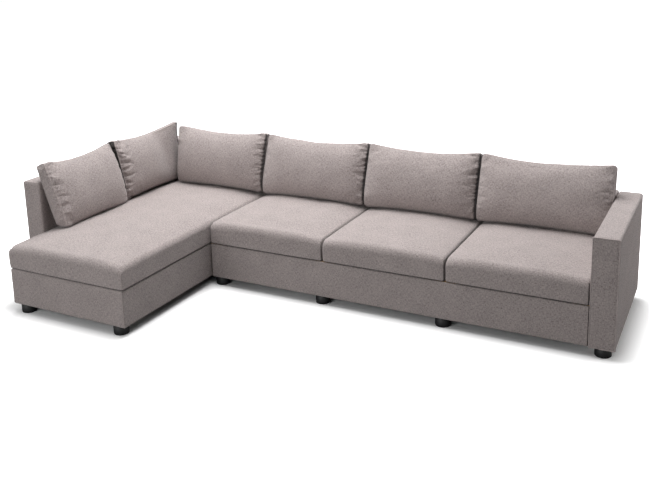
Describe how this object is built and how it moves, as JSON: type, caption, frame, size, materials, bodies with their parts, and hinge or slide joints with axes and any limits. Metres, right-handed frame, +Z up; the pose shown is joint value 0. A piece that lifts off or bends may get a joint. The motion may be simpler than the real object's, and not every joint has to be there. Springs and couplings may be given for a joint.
{
  "type": "sectional sofa with chaise",
  "caption": "L-shaped sectional sofa: a chaise unit on the left with side and corner backs, a seat unit with one slab arm on the right, loose back cushions and short round feet.",
  "frame": {"origin": "on the floor, under the middle of the sofa's bounding box", "axes": "+X to the right as seen from the front, +Y to the rear, +Z up; the chaise reaches out to -Y at -X"},
  "size_m": [3.364, 1.663, 0.8389],
  "materials": {
    "fabric": "heathered taupe weave, matt",
    "timber": "planed softwood, unfinished",
    "steel": "drawn and plated",
    "plastic": "moulded, satin",
    "lining": "thin black lining, matt"
  },
  "bodies": {
    "root": {"chaise_mattress": "fabric", "seat_cushion_1": "fabric", "seat_cushion_2": "fabric", "seat_cushion_3": "fabric", "side_cushion_front": "fabric", "side_cushion_rear": "fabric", "corner_cushion": "fabric", "back_cushion_1": "fabric", "back_cushion_2": "fabric", "back_cushion_3": "fabric", "chaise_front_cover": "fabric", "chaise_left_cover": "fabric", "chaise_right_cover": "fabric", "seat_front_cover": "fabric", "side_back_cover": "fabric", "corner_back_cover": "fabric", "rear_back_cover": "fabric", "arm_cover": "fabric", "arm_front_panel": "fabric", "chaise_front_rail": "timber", "chaise_rear_rail": "timber", "chaise_left_rail": "timber", "chaise_right_rail": "timber", "chaise_bearer": "timber", "seat_front_rail": "timber", "seat_rear_rail": "timber", "seat_left_rail": "timber", "seat_right_rail": "timber", "seat_bearer_1": "timber", "seat_bearer_2": "timber", "side_back_frame": "timber", "corner_back_frame": "timber", "rear_back_frame": "timber", "arm_frame": "timber", "chaise_springs": "steel", "seat_springs": "steel", "unit_bolt_front": "steel", "unit_bolt_rear": "steel", "arm_bolt_front": "steel", "arm_bolt_rear": "steel", "side_back_bolt_front": "steel", "side_back_bolt_rear": "steel", "corner_back_bolt": "steel", "rear_back_bolt_left": "steel", "rear_back_bolt_right": "steel", "chaise_dust_cover": "lining", "seat_dust_cover": "lining", "chaise_foot_front_left": "plastic", "chaise_foot_front_right": "plastic", "side_back_foot_front": "plastic", "side_back_foot_rear": "plastic", "corner_back_foot": "plastic", "seat_foot_front_1": "plastic", "seat_foot_front_2": "plastic", "seat_foot_front_3": "plastic", "arm_foot_front": "plastic", "seat_foot_rear_1": "plastic", "seat_foot_rear_2": "plastic", "seat_foot_rear_3": "plastic", "arm_foot_rear": "plastic"}
  },
  "joints": []
}
